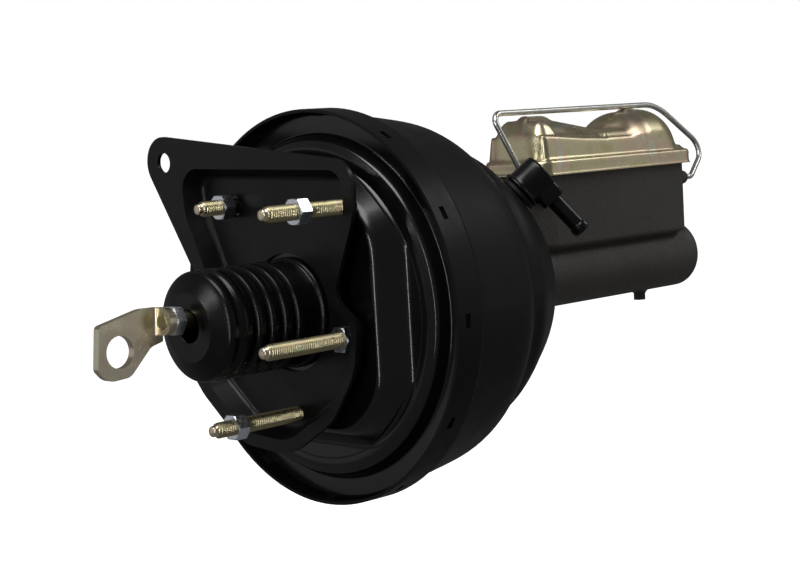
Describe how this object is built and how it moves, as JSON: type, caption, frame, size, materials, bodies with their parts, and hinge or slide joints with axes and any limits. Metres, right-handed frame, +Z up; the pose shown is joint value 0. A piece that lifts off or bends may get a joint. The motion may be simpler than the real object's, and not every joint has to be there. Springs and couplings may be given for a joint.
{
  "type": "brake booster",
  "caption": "Vacuum brake booster with a firewall bracket, studs, boot and pedal rod, and a cast dual-reservoir master cylinder with a bail-held lid.",
  "frame": {"origin": "on the booster axis, in the rim face of the firewall bracket that lies against the firewall", "axes": "+Y along the booster axis towards the master cylinder, +Z up to the reservoir lid, +X to the right seen from behind the firewall; the outlet ports face -X"},
  "size_m": [0.2422, 0.542, 0.2422],
  "materials": {
    "bracket_black": "satin",
    "rear_shell_black": "gloss",
    "front_shell_black": "satin",
    "yellow_zinc": "satin",
    "clear_zinc": "satin",
    "bail_steel": "satin",
    "bare_steel": "satin",
    "spring_steel": "satin",
    "boot_rubber": "satin",
    "seal_rubber": "matte",
    "valve_plastic": "matte",
    "phenolic": "satin",
    "nylon": "satin",
    "filter_felt": "matte",
    "cast_iron": "rough",
    "piston_aluminium": "satin",
    "brass": "satin"
  },
  "bodies": {
    "housing": {"firewall_bracket": "bracket_black", "rear_shell": "rear_shell_black", "firewall_studs": "yellow_zinc", "firewall_nuts": "clear_zinc", "front_shell": "front_shell_black", "check_valve_grommet": "seal_rubber", "reinforcement_plate": "bare_steel", "cylinder_studs": "clear_zinc", "cylinder_nuts": "clear_zinc", "boot": "boot_rubber", "neck_seal": "seal_rubber", "neck_bushing": "nylon", "diaphragm": "seal_rubber", "return_spring": "spring_steel", "master_cylinder_body": "cast_iron", "piston_stop_screw": "clear_zinc", "snap_ring": "spring_steel", "front_seal": "seal_rubber", "rear_port_seat": "brass", "front_port_seat": "brass", "secondary_spring": "spring_steel"},
    "plunger": {"valve_plunger": "bare_steel"},
    "push_rod": {"input_rod": "yellow_zinc", "input_jam_nut": "clear_zinc", "pedal_link": "yellow_zinc", "input_spring": "spring_steel"},
    "power_piston": {"valve_body": "phenolic", "diaphragm_plate": "bare_steel", "air_filter": "filter_felt", "filter_retainer": "nylon", "poppet_valve": "seal_rubber", "poppet_spring": "spring_steel", "reaction_disc": "seal_rubber", "output_rod": "bare_steel", "output_rod_screw": "bare_steel", "rod_retainer": "bare_steel"},
    "primary": {"primary_piston": "piston_aluminium", "primary_cups": "seal_rubber", "primary_spring": "spring_steel"},
    "secondary": {"secondary_piston": "piston_aluminium", "secondary_cups": "seal_rubber"},
    "lid": {"reservoir_lid": "yellow_zinc", "lid_gasket": "seal_rubber"},
    "bail": {"bail_wire": "bail_steel"},
    "vacuum_valve": {"check_valve": "valve_plastic"}
  },
  "joints": [
    {"name": "input_slide", "type": "slide", "parent": "housing", "child": "plunger", "axis": [0, 1, 0], "range_m": [0, 0.03], "stiffness_N_per_m": 2500, "springref_m": -0.02, "deforming": ["boot"]},
    {"name": "rod_swivel", "type": "hinge", "parent": "plunger", "child": "push_rod", "pos_m": [0, 0.026, 0], "axis": [1, 0, 0], "range_deg": [-1.7, 6], "deforming": ["input_spring"]},
    {"name": "power_piston_slide", "type": "slide", "parent": "housing", "child": "power_piston", "axis": [0, 1, 0], "range_m": [0, 0.029], "deforming": ["diaphragm", "return_spring", "poppet_spring"]},
    {"name": "primary_slide", "type": "slide", "parent": "housing", "child": "primary", "axis": [0, 1, 0], "range_m": [0, 0.029], "deforming": ["primary_spring"]},
    {"name": "secondary_slide", "type": "slide", "parent": "housing", "child": "secondary", "axis": [0, 1, 0], "range_m": [0, 0.01475], "deforming": ["secondary_spring"]},
    {"name": "bail_hinge", "type": "hinge", "parent": "housing", "child": "bail", "pos_m": [0.02, 0.305, 0.057], "axis": [0, 1, 0], "range_deg": [0, 100]},
    {"name": "lid_lift", "type": "slide", "parent": "housing", "child": "lid", "axis": [0, 0, 1], "range_m": [0, 0.018]},
    {"name": "check_valve_swivel", "type": "hinge", "parent": "housing", "child": "vacuum_valve", "pos_m": [0.04462, 0.1735, 0.05815], "axis": [0.4999, 0.5707, 0.6515], "range_deg": [-30, 30]}
  ],
  "couplings": [
    {"joint": "power_piston_slide", "follows": "input_slide", "ratio": 0.95},
    {"joint": "primary_slide", "follows": "input_slide", "ratio": 0.95},
    {"joint": "secondary_slide", "follows": "input_slide", "ratio": 0.475},
    {"joint": "lid_lift", "follows": "bail_hinge", "m_per_rad": 0.01}
  ]
}
